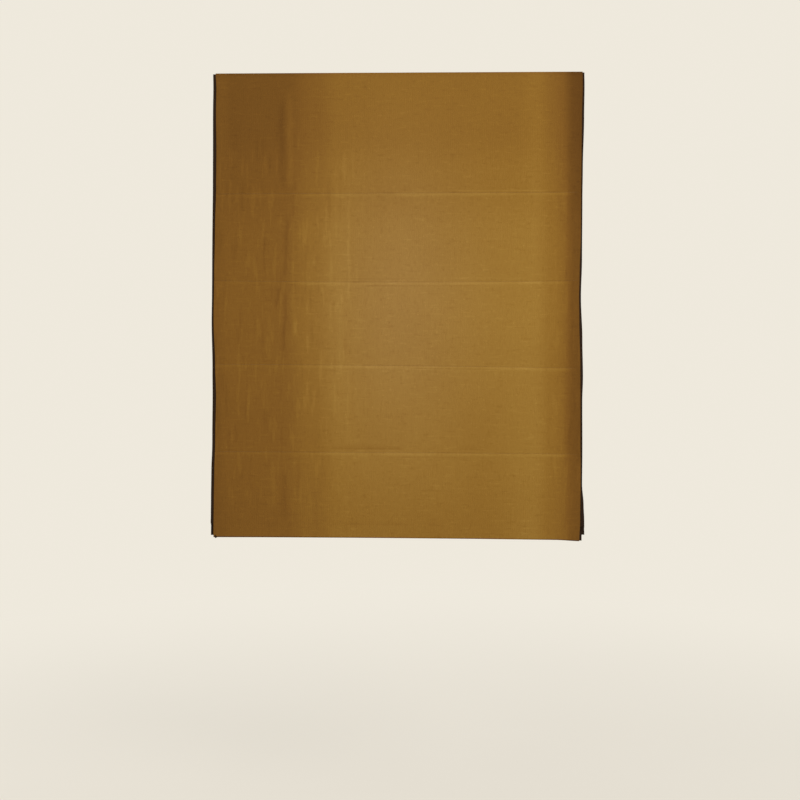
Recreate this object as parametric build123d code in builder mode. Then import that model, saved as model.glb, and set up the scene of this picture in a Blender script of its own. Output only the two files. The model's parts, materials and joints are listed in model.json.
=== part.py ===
from build123d import *
import math
import os

# Roman blind, flat fold, lined, cordless: a spring motor in the headrail balances it.
#
# Millimetres, +Z up. The blind's front faces -Y and the wall is the plane Y = 0.
# The origin is the centre of the middle bracket's back face, at mid width.
# The blind is modelled fully lowered. Layers are stacked from the wall towards the front.

os.makedirs("parts", exist_ok=True)

# ---------------------------------------------------------------- driving dimensions

# Cloth
cloth_width = 1000.0
cloth_drop = 1263.0
cloth_t = 1.4
top_panel = 329.0  # from the cloth's top edge to the first batten seam
batten_count = 4
lining_t = 0.4
lining_overhang = 4.5  # lining past each side of the front cloth
lining_top_gap = 2.0
lining_bottom_gap = 8.0
soft_gap = 0.3  # between one soft layer and the next

# Hook and loop tape
tape_height = 20.0
tape_t = 1.2
tape_gap = 0.2
tape_inset = 2.5
tape_top_gap = 2.0

# Headrail: an open-topped channel with lips turned in
rail_side_gap = 7.5  # from the rail's end to the cloth's side
rail_depth = 52.0
rail_height = 38.0
rail_wall = 1.5
rail_lip = 6.0
rail_standoff = 6.0  # room for screw heads behind the rail
cloth_over_bracket = 0.5

# End caps
cap_plate_t = 2.0
cap_spigot = 10.0
cap_wall = 2.0
cap_gap = 0.2
cap_fillet = 1.0

# Wall brackets
bracket_inset = 60.0  # outer brackets from the cloth's sides
bracket_width = 32.0
bracket_t = 2.0
bracket_drop = 17.0  # plate below the rail's mid height
bracket_bend_r = 1.4
hole_spacing = 18.0
hole_r = 2.25
hook_reach = 5.0
clip_t = 0.8
clip_width = 20.0
clip_bend_r = 0.8
clip_length = 27.0
clip_lip_gap = 1.6  # from the rail's back lip to the middle of the latch's leg
clip_wall_gap = 1.0  # from the rail's back wall to the barb's tip
clip_barb_rise = 2.0
rivet_r = 2.0
rivet_head_r = 3.5
rivet_head_t = 1.0
rivet_gap = 0.05

# Lift cords and spools
cord_count = 4
cord_inset = 110.0  # outer cords from the cloth's sides
cord_d = 1.2
safety_turns = 2
wind_gap = 0.05
wind_r = 9.0  # from the shaft's axis to the wound cord's centre
barrel_length = 32.0
spool_flange_t = 1.5
spool_flange_over = 4.0
hub_wall = 1.2  # at the corners of the square bore
hub_length = 3.0
shaft_side = 6.0
shaft_gap = 0.05
running_gap = 0.05
end_float = 0.3
shaft_overhang = 8.0
retainer_wall = 1.8
retainer_t = 1.5
retainer_inset = 3.0

# Spool cradles
cradle_wall = 2.0
cradle_side_gap = 1.0  # past the spool's flange, front and back
cradle_top = 10.0
nozzle_end_wall = 2.8
nozzle_side_wall = 2.4
nozzle_gap = 0.2
nozzle_stand = 1.0
cord_slot_end_gap = 0.5
cord_slot_side_gap = 1.0

# Spring motor
strip_width = 16.0
strip_t = 0.1
strip_gap = 0.1
output_barrel_over = 0.5  # past the drum's hub
output_wound_r = 8.2
output_flange_r = 10.5
storage_barrel_r = 4.5
storage_wound_r = 5.6
storage_flange_r = 8.0
storage_axle_r = 2.5
drum_flange_t = 1.2

# Drag unit
drag_hub_r = 7.0
drag_spring_r = 8.4
drag_length = 11.0
drag_tang = 1.2

# Cases of the motor and of the drag unit
case_wall = 1.5
case_rail_gap = 0.2  # to the rail's back wall
case_end = 2.0
case_room = 1.0
case_lid = 2.0
boss_r = 2.4
boss_inset = 1.8
boss_depth = 10.0
screw_r = 1.2
screw_gap = 0.05
screw_tip_gap = 1.0
screw_head_r = 2.2
screw_head_t = 1.4
screw_slot = 0.6
screw_slot_depth = 0.7

# Battens
rod_r = 2.0
rod_side_gap = 20.0
pocket_t = 0.6
pocket_side_gap = 12.0
pocket_hang = 16.0  # rod centre below the seam
pocket_neck = 2.0
pocket_neck_gap = 0.3  # between the pocket's layers, just under the neck
plug_wall = 0.8
plug_length = 8.0
plug_gap = 0.05
plug_slack = 0.4

# Cord guides
ring_tube_r = 1.0
ring_cord_gap = 1.6
pad_width = 9.0
pad_height = 11.0
pad_t = 1.2

# Bottom bar and the hem that holds it
bar_height = 25.0
bar_t = 4.0
bar_side_gap = 14.0
bar_cap_wall = 0.8
bar_cap_length = 14.0
bar_cap_gap = 0.05
bar_edge_r = 1.2
hem_slope = 7.5
hem_lap = 2.5
hem_bend_r = 1.6
lining_step_low = 5.0  # the lining steps back over the hem's lap, above the stitch line
lining_step_high = 10.0
lining_bend_r = 0.8
anchor_r = 4.0
anchor_length = 15.0
anchor_bore_gap = 0.25
anchor_bore_depth = 8.0
anchor_cord_depth = 6.0
anchor_neck_width = 4.0
anchor_neck_height = 7.5
anchor_pad_height = 17.0
anchor_pad_t = 1.5
anchor_rise = 16.0  # anchor's middle above the cloth's bottom edge

# ---------------------------------------------------------------- places along Y

rail_back_y = -rail_standoff
rail_front_y = rail_back_y - rail_depth
hook_front_y = rail_front_y - tape_t
loop_back_y = hook_front_y - tape_gap
loop_front_y = loop_back_y - tape_t
lining_back_y = loop_front_y - soft_gap
lining_front_y = lining_back_y - lining_t
cloth_back_y = lining_front_y - soft_gap
cloth_front_y = cloth_back_y - cloth_t

pocket_front_y = lining_back_y + soft_gap
plug_r = rod_r + plug_wall
pocket_in_r = plug_r + plug_slack
pocket_out_r = pocket_in_r + pocket_t
rod_y = pocket_front_y + pocket_out_r
pocket_back_y = rod_y + pocket_out_r
pad_front_y = pocket_back_y + soft_gap
ring_r = cord_d / 2 + ring_cord_gap + ring_tube_r
cord_y = pad_front_y + ring_tube_r + ring_r

shaft_y = cord_y + wind_r
case_back_y = rail_back_y - rail_wall - case_rail_gap
storage_y = case_back_y - case_wall - end_float - storage_flange_r
drum_spacing = storage_y - shaft_y

bar_cap_t = bar_t + 2 * bar_cap_wall
bar_y = cloth_back_y + soft_gap + bar_cap_t / 2
hem_leg_front_y = cloth_back_y + bar_cap_t + 2 * soft_gap
hem_leg_back_y = hem_leg_front_y + cloth_t
hem_lining_front_y = hem_leg_back_y + soft_gap
hem_lining_back_y = hem_lining_front_y + lining_t
anchor_pad_y = hem_lining_back_y + soft_gap

# ---------------------------------------------------------------- places along Z

rail_top_z = rail_height / 2
rail_bottom_z = -rail_height / 2
floor_z = rail_bottom_z + rail_wall
lip_under_z = rail_top_z - rail_wall
bracket_top_z = rail_top_z + bracket_t
cloth_top_z = bracket_top_z + cloth_over_bracket
cloth_bottom_z = cloth_top_z - cloth_drop

panel = (cloth_drop - top_panel) / batten_count
seams_z = [cloth_top_z - top_panel - panel * i for i in range(batten_count)]

bar_cap_height = bar_height + 2 * bar_cap_wall
bar_z = cloth_bottom_z + cloth_t + soft_gap + bar_cap_height / 2
hem_knee_z = bar_z + bar_cap_height / 2 + soft_gap
hem_stitch_z = hem_knee_z + hem_slope
anchor_z = cloth_bottom_z + anchor_rise
anchor_top_z = anchor_z + anchor_length / 2

# ---------------------------------------------------------------- places along X

rail_length = cloth_width - 2 * rail_side_gap
cord_pitch = (cloth_width - 2 * cord_inset) / (cord_count - 1)
cords_x = [-cloth_width / 2 + cord_inset + cord_pitch * i for i in range(cord_count)]
windings_width = safety_turns * cord_d
cord_lead = barrel_length / 2 - windings_width - cord_d / 2 - 2 * wind_gap
spools_x = [x + cord_lead for x in cords_x]
drag_x = (spools_x[0] + spools_x[1]) / 2
motor_x = (spools_x[-2] + spools_x[-1]) / 2
bracket_x = cloth_width / 2 - bracket_inset
brackets = {"left": -bracket_x, "middle": 0.0, "right": bracket_x}
sides = {"left": -1, "right": 1}


def save(part, name):
    """Label one finished piece and write its file."""
    part.label = name
    export_step(part, f"parts/{name}.step")


# ---------------------------------------------------------------- headrail

cord_slot_length = 2 * cord_lead + cord_d + 2 * cord_slot_end_gap
cord_slot_width = cord_d + 2 * cord_slot_side_gap
nozzle_length = cord_slot_length + 2 * nozzle_end_wall
nozzle_width = cord_slot_width + 2 * nozzle_side_wall
rail_mid_y = (rail_back_y + rail_front_y) / 2
with BuildPart() as headrail:
    with BuildSketch(Plane.YZ.offset(-rail_length / 2)):
        with Locations((rail_mid_y, 0)):
            Rectangle(rail_depth, rail_height)
            Rectangle(rail_depth - 2 * rail_wall, rail_height - 2 * rail_wall, mode=Mode.SUBTRACT)
        with Locations((rail_mid_y, rail_top_z)):
            Rectangle(rail_depth - 2 * rail_lip, 2 * rail_wall, mode=Mode.SUBTRACT)
    extrude(amount=rail_length)
    with BuildSketch(Plane.XY.offset(rail_bottom_z)):
        with Locations(*[(x, cord_y) for x in spools_x]):
            SlotOverall(nozzle_length + 2 * nozzle_gap, nozzle_width + 2 * nozzle_gap)
    extrude(amount=rail_wall, mode=Mode.SUBTRACT)
save(headrail.part, "headrail")

# End caps: a plate over the rail's end, with a hollow spigot inside the channel
for side, sign in sides.items():
    with BuildPart() as end_cap:
        with BuildSketch(Plane.YZ.offset(sign * rail_length / 2)):
            with Locations((rail_mid_y, 0)):
                Rectangle(rail_depth, rail_height)
        extrude(amount=sign * cap_plate_t)
        outer_face = end_cap.faces().sort_by(Axis.X)[-1 if sign > 0 else 0]
        fillet(outer_face.edges(), cap_fillet)
        spigot_depth = rail_depth - 2 * rail_wall - 2 * cap_gap
        spigot_height = rail_height - 2 * rail_wall - 2 * cap_gap
        with BuildSketch(Plane.YZ.offset(sign * rail_length / 2)):
            with Locations((rail_mid_y, 0)):
                Rectangle(spigot_depth, spigot_height)
                Rectangle(spigot_depth - 2 * cap_wall, spigot_height - 2 * cap_wall, mode=Mode.SUBTRACT)
        extrude(amount=-sign * cap_spigot)
    save(end_cap.part, f"end_cap_{side}")

# ---------------------------------------------------------------- wall brackets

plate_mid_y = -bracket_t / 2
arm_mid_z = rail_top_z + bracket_t / 2
hook_y = rail_front_y + rail_lip + bracket_t
hook_mid_z = lip_under_z - bracket_t / 2
clip_mid_z = rail_top_z - clip_t / 2
clip_back_y = rail_back_y - rail_lip - clip_lip_gap
clip_barb_y = rail_back_y - rail_wall - clip_wall_gap
clip_barb_z = lip_under_z - clip_t
rivet_y = clip_back_y - clip_length / 2

for place, x in brackets.items():
    # Bent plate: up the wall, forward over the rail, and down to a hook under the front lip
    with BuildPart() as bracket:
        with BuildSketch(Plane.YZ.offset(x - bracket_width / 2)):
            with BuildLine():
                FilletPolyline(
                    (plate_mid_y, -bracket_drop),
                    (plate_mid_y, arm_mid_z),
                    (hook_y, arm_mid_z),
                    (hook_y, hook_mid_z),
                    (hook_y - hook_reach, hook_mid_z),
                    radius=bracket_bend_r,
                )
            trace(line_width=bracket_t)
        extrude(amount=bracket_width)
        with BuildSketch(Plane.XZ):
            with Locations((x - hole_spacing / 2, 0), (x + hole_spacing / 2, 0)):
                Circle(hole_r)
        extrude(amount=bracket_t, mode=Mode.SUBTRACT)
        with BuildSketch(Plane.XY.offset(rail_top_z)):
            with Locations((x, rivet_y)):
                Circle(rivet_r + rivet_gap)
        extrude(amount=bracket_t, mode=Mode.SUBTRACT)
    save(bracket.part, f"bracket_{place}")

    # Spring latch under the arm, with a barb that snaps under the rail's back lip
    with BuildPart() as bracket_clip:
        with BuildSketch(Plane.YZ.offset(x - clip_width / 2)):
            with BuildLine():
                FilletPolyline(
                    (clip_back_y - clip_length, clip_mid_z),
                    (clip_back_y, clip_mid_z),
                    (clip_back_y, clip_barb_z - clip_barb_rise),
                    (clip_barb_y, clip_barb_z),
                    radius=clip_bend_r,
                )
            trace(line_width=clip_t)
        extrude(amount=clip_width)
        with BuildSketch(Plane.XY.offset(rail_top_z - clip_t)):
            with Locations((x, rivet_y)):
                Circle(rivet_r + rivet_gap)
        extrude(amount=clip_t, mode=Mode.SUBTRACT)
    save(bracket_clip.part, f"bracket_clip_{place}")

with BuildPart() as clip_rivets:
    with BuildSketch(Plane.XY.offset(rail_top_z - clip_t)):
        with Locations(*[(x, rivet_y) for x in brackets.values()]):
            Circle(rivet_r)
    extrude(amount=clip_t + bracket_t)
    with BuildSketch(Plane.XY.offset(rail_top_z - clip_t)):
        with Locations(*[(x, rivet_y) for x in brackets.values()]):
            Circle(rivet_head_r)
    extrude(amount=-rivet_head_t)
save(clip_rivets.part, "clip_rivets")

# ---------------------------------------------------------------- hook and loop tape

tape_z = rail_top_z - tape_top_gap - tape_height / 2
for name, front_y in {"hook_tape": hook_front_y, "loop_tape": loop_front_y}.items():
    with BuildPart() as tape:
        with BuildSketch(Plane.XZ.offset(-front_y)):
            with Locations((0, tape_z)):
                Rectangle(rail_length - 2 * tape_inset, tape_height)
        extrude(amount=-tape_t)
    save(tape.part, name)

# ---------------------------------------------------------------- front cloth and lining

cloth_mid_y = (cloth_front_y + cloth_back_y) / 2
hem_leg_mid_y = (hem_leg_front_y + hem_leg_back_y) / 2
lap_mid_y = cloth_back_y + soft_gap + cloth_t / 2

# The bottom hem is the same cloth, turned back and up round the bar, and sewn at the stitch line
with BuildPart() as front_cloth:
    with BuildSketch(Plane.YZ.offset(-cloth_width / 2)):
        with BuildLine():
            FilletPolyline(
                (cloth_mid_y, cloth_top_z),
                (cloth_mid_y, cloth_bottom_z + cloth_t / 2),
                (hem_leg_mid_y, cloth_bottom_z + cloth_t / 2),
                (hem_leg_mid_y, hem_knee_z),
                (lap_mid_y, hem_stitch_z),
                (lap_mid_y, hem_stitch_z + hem_lap),
                radius=hem_bend_r,
            )
        trace(line_width=cloth_t)
    extrude(amount=cloth_width)
save(front_cloth.part, "front_cloth")

lining_mid_y = (lining_front_y + lining_back_y) / 2
hem_lining_mid_y = (hem_lining_front_y + hem_lining_back_y) / 2
lining_lap_y = lap_mid_y + cloth_t / 2 + soft_gap + lining_t / 2
lining_width = cloth_width + 2 * lining_overhang
with BuildPart() as lining:
    with BuildSketch(Plane.YZ.offset(-lining_width / 2)):
        with BuildLine():
            FilletPolyline(
                (lining_mid_y, cloth_top_z - lining_top_gap),
                (lining_mid_y, hem_stitch_z + lining_step_high),
                (lining_lap_y, hem_stitch_z + lining_step_low),
                (lining_lap_y, hem_stitch_z + cloth_t),
                (hem_lining_mid_y, hem_knee_z + cloth_t),
                (hem_lining_mid_y, cloth_bottom_z + lining_bottom_gap),
                radius=lining_bend_r,
            )
        trace(line_width=lining_t)
    extrude(amount=lining_width)
save(lining.part, "lining")

# ---------------------------------------------------------------- lift shaft and spools

shaft_plane = Plane(origin=(0, shaft_y, 0), x_dir=(0, 1, 0), z_dir=(1, 0, 0))
spool_half = barrel_length / 2 + spool_flange_t
cradle_half = spool_half + end_float + cradle_wall
shaft_start = spools_x[0] - cradle_half - shaft_overhang
shaft_end = spools_x[-1] + cradle_half + shaft_overhang
shaft_bore_side = shaft_side + 2 * shaft_gap
shaft_bore_corner_r = shaft_bore_side / math.sqrt(2)
hub_r = shaft_bore_corner_r + hub_wall
retainer_r = shaft_bore_corner_r + retainer_wall

with BuildPart() as lift_shaft:
    with BuildSketch(shaft_plane.offset(shaft_start)):
        Rectangle(shaft_side, shaft_side)
    extrude(amount=shaft_end - shaft_start)
save(lift_shaft.part, "lift_shaft")


def cut_shaft_bore(x, half_length):
    """Square bore for the shaft, centred at x, through the part being built."""
    with BuildSketch(shaft_plane.offset(x - half_length)) as bore:
        Rectangle(shaft_bore_side, shaft_bore_side)
    extrude(bore.sketch, amount=2 * half_length, mode=Mode.SUBTRACT)


def disc(x, radius, half_length):
    """Round stretch about the shaft's axis, centred at x."""
    with BuildSketch(shaft_plane.offset(x - half_length)) as circle:
        Circle(radius)
    extrude(circle.sketch, amount=2 * half_length)


barrel_r = wind_r - cord_d / 2 - wind_gap
spool_flange_r = wind_r + spool_flange_over
for number, x in enumerate(spools_x, start=1):
    with BuildPart() as spool:
        disc(x, hub_r, spool_half + hub_length)
        disc(x, barrel_r, spool_half)
        disc(x - spool_half + spool_flange_t / 2, spool_flange_r, spool_flange_t / 2)
        disc(x + spool_half - spool_flange_t / 2, spool_flange_r, spool_flange_t / 2)
        cut_shaft_bore(x, spool_half + hub_length)
    save(spool.part, f"spool_{number}")

# Turns of cord that stay on each spool when the blind is down
with BuildPart() as cord_windings:
    for x in spools_x:
        with BuildSketch(shaft_plane.offset(x - barrel_length / 2 + wind_gap)):
            Circle(wind_r + cord_d / 2)
            Circle(wind_r - cord_d / 2, mode=Mode.SUBTRACT)
        extrude(amount=windings_width)
save(cord_windings.part, "cord_windings")

# Push-on rings at the shaft's ends
with BuildPart() as shaft_retainers:
    for sign, end_x in ((-1, shaft_start), (1, shaft_end)):
        with BuildSketch(shaft_plane.offset(end_x - sign * retainer_inset)):
            Circle(retainer_r)
            Rectangle(shaft_bore_side, shaft_bore_side, mode=Mode.SUBTRACT)
        extrude(amount=sign * retainer_t)
save(shaft_retainers.part, "shaft_retainers")

# Cradles: a base on the rail's floor, two bearing walls, and a nozzle through the rail
cradle_side = spool_flange_r + cradle_side_gap
for number, x in enumerate(spools_x, start=1):
    with BuildPart() as cradle:
        with BuildSketch(Plane.XY.offset(floor_z)):
            with Locations((x, shaft_y)):
                Rectangle(2 * cradle_half, 2 * cradle_side)
        extrude(amount=cradle_wall)
        for sign in (-1, 1):
            with BuildSketch(shaft_plane.offset(x + sign * cradle_half)):
                with Locations((0, (floor_z + cradle_top) / 2)):
                    Rectangle(2 * cradle_side, cradle_top - floor_z)
            extrude(amount=-sign * cradle_wall)
        upright_edges = cradle.edges().filter_by(Axis.X).group_by(Axis.Z)[-1]
        fillet(upright_edges, cradle_wall)
        with BuildSketch(Plane.XY.offset(floor_z)):
            with Locations((x, cord_y)):
                SlotOverall(nozzle_length, nozzle_width)
        extrude(amount=-rail_wall - nozzle_stand)
        with BuildSketch(Plane.XY.offset(floor_z + cradle_wall)):
            with Locations((x, cord_y)):
                SlotOverall(cord_slot_length, cord_slot_width)
        extrude(amount=-cradle_wall - rail_wall - nozzle_stand, mode=Mode.SUBTRACT)
        with BuildSketch(shaft_plane.offset(x - cradle_half)):
            Circle(hub_r + running_gap)
        extrude(amount=2 * cradle_half, mode=Mode.SUBTRACT)
    save(cradle.part, f"spool_cradle_{number}")

# Lift cords: straight from the spool's front tangent down to the anchor in the hem
for number, x in enumerate(cords_x, start=1):
    with BuildPart() as lift_cord:
        with BuildSketch(Plane.XY):
            with Locations((x, cord_y)):
                Circle(cord_d / 2)
        extrude(amount=anchor_top_z - anchor_cord_depth)
    save(lift_cord.part, f"lift_cord_{number}")

# ---------------------------------------------------------------- cases


def make_case(name, x, inner_length, front_y, back_y, top_z, bores):
    """Box on the rail's floor with one open end, a lid, and the lid's screws.

    front_y, back_y and top_z bound the inside; bores lists (y, radius) at the shaft's height.
    """
    mid_y = (front_y + back_y) / 2
    low_z = floor_z + case_wall
    mid_z = (low_z + top_z) / 2
    wide = back_y - front_y
    tall = top_z - low_z
    open_x = x - inner_length / 2
    end_plane = Plane.YZ.offset(x + inner_length / 2)
    screws = [
        (y, z)
        for y in (front_y + boss_inset, back_y - boss_inset)
        for z in (low_z + boss_inset, top_z - boss_inset)
    ]
    with BuildPart() as case:
        with BuildSketch(Plane.YZ.offset(open_x)):
            with Locations((mid_y, mid_z)):
                Rectangle(wide + 2 * case_wall, tall + 2 * case_wall)
                Rectangle(wide, tall, mode=Mode.SUBTRACT)
        extrude(amount=inner_length)
        with BuildSketch(end_plane):
            with Locations((mid_y, mid_z)):
                Rectangle(wide + 2 * case_wall, tall + 2 * case_wall)
        extrude(amount=case_end)
        with BuildSketch(Plane.YZ.offset(open_x)):
            with Locations(*screws):
                Circle(boss_r)
        extrude(amount=inner_length)
        with BuildSketch(Plane.YZ.offset(open_x)):
            with Locations(*screws):
                Circle(screw_r + screw_gap)
        extrude(amount=boss_depth, mode=Mode.SUBTRACT)
        for y, radius in bores:
            with BuildSketch(end_plane):
                with Locations((y, 0)):
                    Circle(radius)
            extrude(amount=case_end, mode=Mode.SUBTRACT)
    save(case.part, f"{name}_case")

    with BuildPart() as lid:
        with BuildSketch(Plane.YZ.offset(open_x)):
            with Locations((mid_y, mid_z)):
                Rectangle(wide + 2 * case_wall, tall + 2 * case_wall)
            with Locations(*screws):
                Circle(screw_r + screw_gap, mode=Mode.SUBTRACT)
            for y, radius in bores:
                with Locations((y, 0)):
                    Circle(radius, mode=Mode.SUBTRACT)
        extrude(amount=-case_lid)
    save(lid.part, f"{name}_lid")

    lid_plane = Plane.YZ.offset(open_x - case_lid)
    with BuildPart() as lid_screws:
        with BuildSketch(lid_plane):
            with Locations(*screws):
                Circle(screw_r)
        extrude(amount=case_lid + boss_depth - screw_tip_gap)
        with BuildSketch(lid_plane):
            with Locations(*screws):
                Circle(screw_head_r)
        extrude(amount=-screw_head_t)
        with BuildSketch(lid_plane.offset(-screw_head_t)):
            with Locations(*screws):
                Rectangle(screw_slot, 2 * screw_head_r + 2 * screw_slot)
        extrude(amount=screw_slot_depth, mode=Mode.SUBTRACT)
    save(lid_screws.part, f"{name}_screws")


# ---------------------------------------------------------------- spring motor

output_barrel_r = hub_r + output_barrel_over
drum_length = strip_width + 2 * end_float
motor_inner = drum_length + 2 * drum_flange_t + 2 * end_float
make_case(
    "motor",
    motor_x,
    motor_inner,
    shaft_y - output_flange_r - case_room,
    storage_y + storage_flange_r + end_float,
    output_flange_r + case_room,
    [(shaft_y, hub_r + running_gap), (storage_y, storage_axle_r + running_gap)],
)

drum_half = drum_length / 2 + drum_flange_t
with BuildPart() as output_drum:
    disc(motor_x, hub_r, drum_half + hub_length)
    disc(motor_x, output_barrel_r, drum_half)
    for sign in (-1, 1):
        disc(motor_x + sign * (drum_half - drum_flange_t / 2), output_flange_r, drum_flange_t / 2)
    cut_shaft_bore(motor_x, drum_half + hub_length)
save(output_drum.part, "output_drum")

storage_plane = Plane(origin=(motor_x, storage_y, 0), x_dir=(0, 1, 0), z_dir=(1, 0, 0))
axle_half = drum_half + case_end
with BuildPart() as storage_drum:
    with BuildSketch(storage_plane.offset(-axle_half)):
        Circle(storage_axle_r)
    extrude(amount=2 * axle_half)
    with BuildSketch(storage_plane.offset(-drum_half)):
        Circle(storage_barrel_r)
    extrude(amount=2 * drum_half)
    for sign in (-1, 1):
        with BuildSketch(storage_plane.offset(sign * drum_half)):
            Circle(storage_flange_r)
        extrude(amount=-sign * drum_flange_t)
save(storage_drum.part, "storage_drum")

# Power spring: a coil on each drum and the strip that crosses between them
output_strip_r = output_wound_r - strip_t / 2
storage_strip_r = storage_wound_r - strip_t / 2
cross = math.asin((output_strip_r + storage_strip_r) / drum_spacing)
leave = (shaft_y + output_strip_r * math.sin(cross), output_strip_r * math.cos(cross))
arrive = (storage_y - storage_strip_r * math.sin(cross), -storage_strip_r * math.cos(cross))
with BuildPart() as power_spring:
    with BuildSketch(Plane.YZ.offset(motor_x - strip_width / 2)):
        with BuildLine():
            Line(leave, arrive)
        trace(line_width=strip_t)
        with Locations((shaft_y, 0)):
            Circle(output_wound_r)
            Circle(output_barrel_r + strip_gap, mode=Mode.SUBTRACT)
        with Locations((storage_y, 0)):
            Circle(storage_wound_r)
            Circle(storage_barrel_r + strip_gap, mode=Mode.SUBTRACT)
    extrude(amount=strip_width)
save(power_spring.part, "power_spring")

# ---------------------------------------------------------------- drag unit

drag_room = drag_spring_r + case_room
drag_inner = drag_length + 2 * end_float
make_case(
    "drag",
    drag_x,
    drag_inner,
    shaft_y - drag_room - boss_inset,
    shaft_y + drag_room + boss_inset,
    drag_room,
    [(shaft_y, hub_r + running_gap)],
)

with BuildPart() as drag_hub:
    disc(drag_x, hub_r, drag_length / 2 + hub_length)
    disc(drag_x, drag_hub_r, drag_length / 2)
    cut_shaft_bore(drag_x, drag_length / 2 + hub_length)
save(drag_hub.part, "drag_hub")

# Wrap spring on the hub, with a tang that reaches the case's roof
wrap_length = drag_length - 2 * end_float
tang_low = drag_spring_r - drag_tang
tang_high = drag_room - soft_gap
with BuildPart() as drag_spring:
    with BuildSketch(shaft_plane.offset(drag_x - wrap_length / 2)):
        Circle(drag_spring_r)
        Circle(drag_hub_r + running_gap, mode=Mode.SUBTRACT)
    extrude(amount=wrap_length)
    with BuildSketch(shaft_plane.offset(drag_x - drag_tang / 2)):
        with Locations((0, (tang_low + tang_high) / 2)):
            Rectangle(drag_tang, tang_high - tang_low)
    extrude(amount=drag_tang)
save(drag_spring.part, "drag_spring")

# ---------------------------------------------------------------- battens

rod_length = cloth_width - 2 * rod_side_gap
pocket_length = cloth_width - 2 * pocket_side_gap


def teardrop(rod_z, top_z, radius, neck_y, neck_t, mode=Mode.ADD):
    """Straight sides from a narrow neck to a round about the rod, as long as the pocket."""
    with BuildSketch(Plane.YZ.offset(-pocket_length / 2)) as outline:
        with Locations((rod_y, rod_z)):
            Circle(radius)
        with Locations((neck_y, top_z - pocket_neck / 2)):
            Rectangle(neck_t, pocket_neck)
        make_hull()
    extrude(outline.sketch, amount=pocket_length, mode=mode)


for number, seam_z in enumerate(seams_z, start=1):
    rod_z = seam_z - pocket_hang
    with BuildPart() as batten_rod:
        with BuildSketch(Plane.YZ.offset(-rod_length / 2)):
            with Locations((rod_y, rod_z)):
                Circle(rod_r)
        extrude(amount=rod_length)
    save(batten_rod.part, f"batten_{number}_rod")

    # The pocket's two layers are sewn together along the neck, at the seam
    neck_y = pocket_front_y + pocket_t
    with BuildPart() as batten_pocket:
        teardrop(rod_z, seam_z, pocket_out_r, neck_y, 2 * pocket_t)
        teardrop(rod_z, seam_z - pocket_neck, pocket_in_r, neck_y, pocket_neck_gap, Mode.SUBTRACT)
    save(batten_pocket.part, f"batten_{number}_pocket")

    with BuildPart() as batten_plugs:
        for sign in (-1, 1):
            with BuildSketch(Plane.YZ.offset(sign * (rod_length / 2 + plug_wall))):
                with Locations((rod_y, rod_z)):
                    Circle(plug_r)
            extrude(amount=-sign * plug_length)
        with BuildSketch(Plane.YZ.offset(-rod_length / 2)):
            with Locations((rod_y, rod_z)):
                Circle(rod_r + plug_gap)
        extrude(amount=rod_length, mode=Mode.SUBTRACT)
    save(batten_plugs.part, f"batten_{number}_plugs")

    # Guides: a ring round each lift cord, on a pad sewn to the pocket's back
    with BuildPart() as cord_guides:
        with Locations(*[(x, cord_y, rod_z) for x in cords_x]):
            Torus(ring_r, ring_tube_r)
        with Locations(*[(x, pad_front_y + pad_t / 2, rod_z) for x in cords_x]):
            Box(pad_width, pad_t, pad_height)
    save(cord_guides.part, f"batten_{number}_guides")

# ---------------------------------------------------------------- bottom bar

bar_length = cloth_width - 2 * bar_side_gap - 2 * bar_cap_wall
with BuildPart() as bottom_bar:
    with BuildSketch(Plane.YZ.offset(-bar_length / 2)):
        with Locations((bar_y, bar_z)):
            RectangleRounded(bar_t, bar_height, bar_edge_r)
    extrude(amount=bar_length)
save(bottom_bar.part, "bottom_bar")

with BuildPart() as bar_end_caps:
    for sign in (-1, 1):
        with BuildSketch(Plane.YZ.offset(sign * (bar_length / 2 + bar_cap_wall))):
            with Locations((bar_y, bar_z)):
                RectangleRounded(bar_cap_t, bar_cap_height, bar_edge_r + bar_cap_wall)
        extrude(amount=-sign * bar_cap_length)
    with BuildSketch(Plane.YZ.offset(-bar_length / 2)):
        with Locations((bar_y, bar_z)):
            RectangleRounded(bar_t + 2 * bar_cap_gap, bar_height + 2 * bar_cap_gap, bar_edge_r)
    extrude(amount=bar_length, mode=Mode.SUBTRACT)
save(bar_end_caps.part, "bar_end_caps")

# Anchors: a barrel that grips each cord's end, on a pad sewn to the hem's back
with BuildPart() as cord_anchors:
    with BuildSketch(Plane.XY.offset(anchor_top_z)):
        with Locations(*[(x, cord_y) for x in cords_x]):
            Circle(anchor_r)
    extrude(amount=-anchor_length)
    with Locations(*[(x, anchor_pad_y + anchor_pad_t / 2, anchor_z) for x in cords_x]):
        Box(pad_width, anchor_pad_t, anchor_pad_height)
    neck_depth = cord_y - anchor_pad_y
    with Locations(*[(x, anchor_pad_y + neck_depth / 2, anchor_z) for x in cords_x]):
        Box(anchor_neck_width, neck_depth, anchor_neck_height)
    with BuildSketch(Plane.XY.offset(anchor_top_z)):
        with Locations(*[(x, cord_y) for x in cords_x]):
            Circle(cord_d / 2 + anchor_bore_gap)
    extrude(amount=-anchor_bore_depth, mode=Mode.SUBTRACT)
save(cord_anchors.part, "cord_anchors")
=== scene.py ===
import json
import math

import bpy
import numpy as np
from mathutils import Matrix, Vector


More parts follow.
